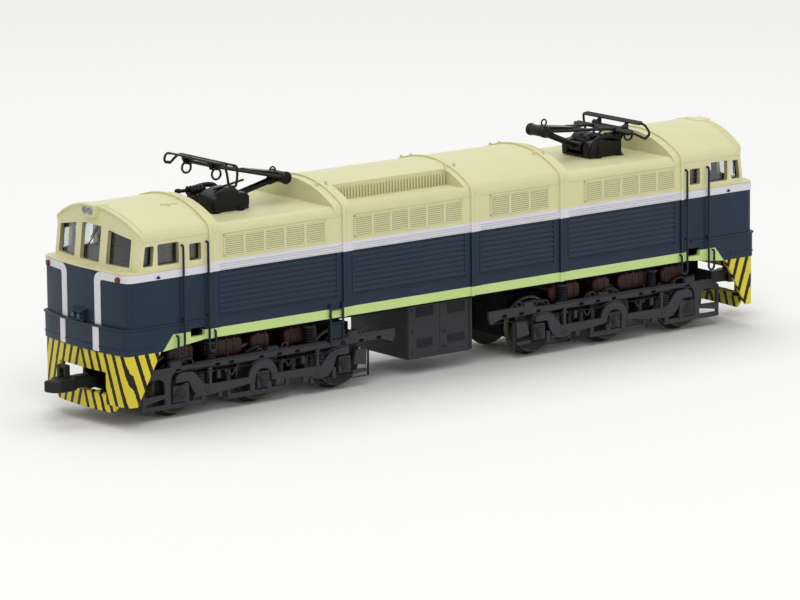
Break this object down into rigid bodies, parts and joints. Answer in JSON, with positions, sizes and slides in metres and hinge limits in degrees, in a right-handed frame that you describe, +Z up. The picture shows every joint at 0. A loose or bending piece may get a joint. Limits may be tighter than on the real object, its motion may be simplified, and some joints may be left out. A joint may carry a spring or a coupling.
{
  "type": "electric locomotive scale model",
  "caption": "Double-ended electric locomotive model in HO scale on two six-wheel trucks, with swivelling trucks, turning wheels, folding pantographs and swinging couplers.",
  "frame": {"origin": "centre of the bounding box on the plane of the wheel flanges' lowest points", "axes": "+X from the front end (raised pantograph) to the rear end, +Y to the left of one who looks along +X, +Z up"},
  "size_m": [0.2098, 0.0358, 0.0571],
  "materials": {
    "body_paint": "satin paint, four colours",
    "glazing": "clear",
    "lamp_metal": "lamp housings and lenses",
    "pilot_paint": "satin paint with hazard stripes",
    "rail_metal": "painted wire",
    "coupler_plastic": "moulded",
    "chassis_plastic": "moulded",
    "ballast_metal": "cast",
    "casing_brown": "moulded",
    "wheel_metal": "turned, darkened",
    "truck_plastic": "moulded",
    "pantograph_metal": "black paint"
  },
  "bodies": {
    "locomotive_body": {"ballast_block": "ballast_metal", "cab_front_glazing": "glazing", "cab_front_shell": "body_paint", "cab_rear_glazing": "glazing", "cab_rear_shell": "body_paint", "chassis_plate": "chassis_plastic", "coupler_box_front": "coupler_plastic", "coupler_box_rear": "coupler_plastic", "equipment_box": "chassis_plastic", "fluted_panels": "body_paint", "grille_panels": "body_paint", "handrails_front": "rail_metal", "handrails_rear": "rail_metal", "hood_section_1": "body_paint", "hood_section_2": "body_paint", "hood_section_3": "body_paint", "hood_section_4": "body_paint", "joint_rings": "body_paint", "nose_lamps_front": "lamp_metal", "nose_lamps_rear": "lamp_metal", "pantograph_1_base": "pantograph_metal", "pantograph_2_base": "pantograph_metal", "pilot_front": "pilot_paint", "pilot_rear": "pilot_paint", "roof_fittings": "body_paint", "roof_lamps_front": "lamp_metal", "roof_lamps_rear": "lamp_metal", "roof_slats_left": "body_paint", "roof_slats_right": "body_paint", "side_ladders": "chassis_plastic"},
    "coupler_front_head": {"coupler_front": "coupler_plastic"},
    "coupler_rear_head": {"coupler_rear": "coupler_plastic"},
    "pantograph_1_head": {"pantograph_1_head": "pantograph_metal"},
    "pantograph_1_lower_arm": {"pantograph_1_lower_arm": "pantograph_metal"},
    "pantograph_1_upper_arm": {"pantograph_1_upper_arm": "pantograph_metal"},
    "pantograph_2_head": {"pantograph_2_head": "pantograph_metal"},
    "pantograph_2_lower_arm": {"pantograph_2_lower_arm": "pantograph_metal"},
    "pantograph_2_upper_arm": {"pantograph_2_upper_arm": "pantograph_metal"},
    "truck_1": {"truck_1_centre": "truck_plastic", "truck_1_motor_casing": "casing_brown", "truck_1_side_frame_left": "truck_plastic", "truck_1_side_frame_right": "truck_plastic"},
    "truck_1_axle_1": {"truck_1_wheelset_1": "wheel_metal"},
    "truck_1_axle_2": {"truck_1_wheelset_2": "wheel_metal"},
    "truck_1_axle_3": {"truck_1_wheelset_3": "wheel_metal"},
    "truck_2": {"truck_2_centre": "truck_plastic", "truck_2_motor_casing": "casing_brown", "truck_2_side_frame_left": "truck_plastic", "truck_2_side_frame_right": "truck_plastic"},
    "truck_2_axle_1": {"truck_2_wheelset_1": "wheel_metal"},
    "truck_2_axle_2": {"truck_2_wheelset_2": "wheel_metal"},
    "truck_2_axle_3": {"truck_2_wheelset_3": "wheel_metal"}
  },
  "joints": [
    {"name": "truck_1_swivel", "type": "hinge", "parent": "locomotive_body", "child": "truck_1", "pos_m": [-0.0529, 0, 0.017], "axis": [0, 0, 1], "range_deg": [-4, 4]},
    {"name": "truck_1_axle_1_spin", "type": "hinge", "parent": "truck_1", "child": "truck_1_axle_1", "pos_m": [-0.0763, 0, 0.0073], "axis": [0, 1, 0], "continuous": true},
    {"name": "truck_1_axle_2_spin", "type": "hinge", "parent": "truck_1", "child": "truck_1_axle_2", "pos_m": [-0.0529, 0, 0.0073], "axis": [0, 1, 0], "continuous": true},
    {"name": "truck_1_axle_3_spin", "type": "hinge", "parent": "truck_1", "child": "truck_1_axle_3", "pos_m": [-0.0295, 0, 0.0073], "axis": [0, 1, 0], "continuous": true},
    {"name": "truck_2_swivel", "type": "hinge", "parent": "locomotive_body", "child": "truck_2", "pos_m": [0.0529, 0, 0.017], "axis": [0, 0, 1], "range_deg": [-4, 4]},
    {"name": "truck_2_axle_1_spin", "type": "hinge", "parent": "truck_2", "child": "truck_2_axle_1", "pos_m": [0.0763, 0, 0.0073], "axis": [0, 1, 0], "continuous": true},
    {"name": "truck_2_axle_2_spin", "type": "hinge", "parent": "truck_2", "child": "truck_2_axle_2", "pos_m": [0.0529, 0, 0.0073], "axis": [0, 1, 0], "continuous": true},
    {"name": "truck_2_axle_3_spin", "type": "hinge", "parent": "truck_2", "child": "truck_2_axle_3", "pos_m": [0.0295, 0, 0.0073], "axis": [0, 1, 0], "continuous": true},
    {"name": "pantograph_1_foot", "type": "hinge", "parent": "locomotive_body", "child": "pantograph_1_lower_arm", "pos_m": [-0.0515, 0, 0.0473], "axis": [0, -1, 0], "range_deg": [-3, 40]},
    {"name": "pantograph_1_knee", "type": "hinge", "parent": "pantograph_1_lower_arm", "child": "pantograph_1_upper_arm", "pos_m": [-0.03842, 0, 0.05022], "axis": [0, 1, 0], "range_deg": [-5.4, 72]},
    {"name": "pantograph_1_head_level", "type": "hinge", "parent": "pantograph_1_upper_arm", "child": "pantograph_1_head", "pos_m": [-0.06065, 0, 0.05572], "axis": [0, -1, 0], "range_deg": [-2.4, 32]},
    {"name": "pantograph_2_foot", "type": "hinge", "parent": "locomotive_body", "child": "pantograph_2_lower_arm", "pos_m": [0.0515, 0, 0.0473], "axis": [0, 1, 0], "range_deg": [0, 40]},
    {"name": "pantograph_2_knee", "type": "hinge", "parent": "pantograph_2_lower_arm", "child": "pantograph_2_upper_arm", "pos_m": [0.03916, 0, 0.05251], "axis": [0, -1, 0], "range_deg": [0, 72]},
    {"name": "pantograph_2_head_level", "type": "hinge", "parent": "pantograph_2_upper_arm", "child": "pantograph_2_head", "pos_m": [0.06201, 0, 0.05108], "axis": [0, 1, 0], "range_deg": [0, 32]},
    {"name": "coupler_front_swing", "type": "hinge", "parent": "locomotive_body", "child": "coupler_front_head", "pos_m": [-0.087, 0, 0.0097], "axis": [0, 0, 1], "range_deg": [-10, 10]},
    {"name": "coupler_rear_swing", "type": "hinge", "parent": "locomotive_body", "child": "coupler_rear_head", "pos_m": [0.087, 0, 0.0097], "axis": [0, 0, 1], "range_deg": [-10, 10]}
  ],
  "couplings": [
    {"joint": "pantograph_1_knee", "follows": "pantograph_1_foot", "ratio": 1.8},
    {"joint": "pantograph_1_head_level", "follows": "pantograph_1_foot", "ratio": 0.8},
    {"joint": "pantograph_2_knee", "follows": "pantograph_2_foot", "ratio": 1.8},
    {"joint": "pantograph_2_head_level", "follows": "pantograph_2_foot", "ratio": 0.8}
  ]
}
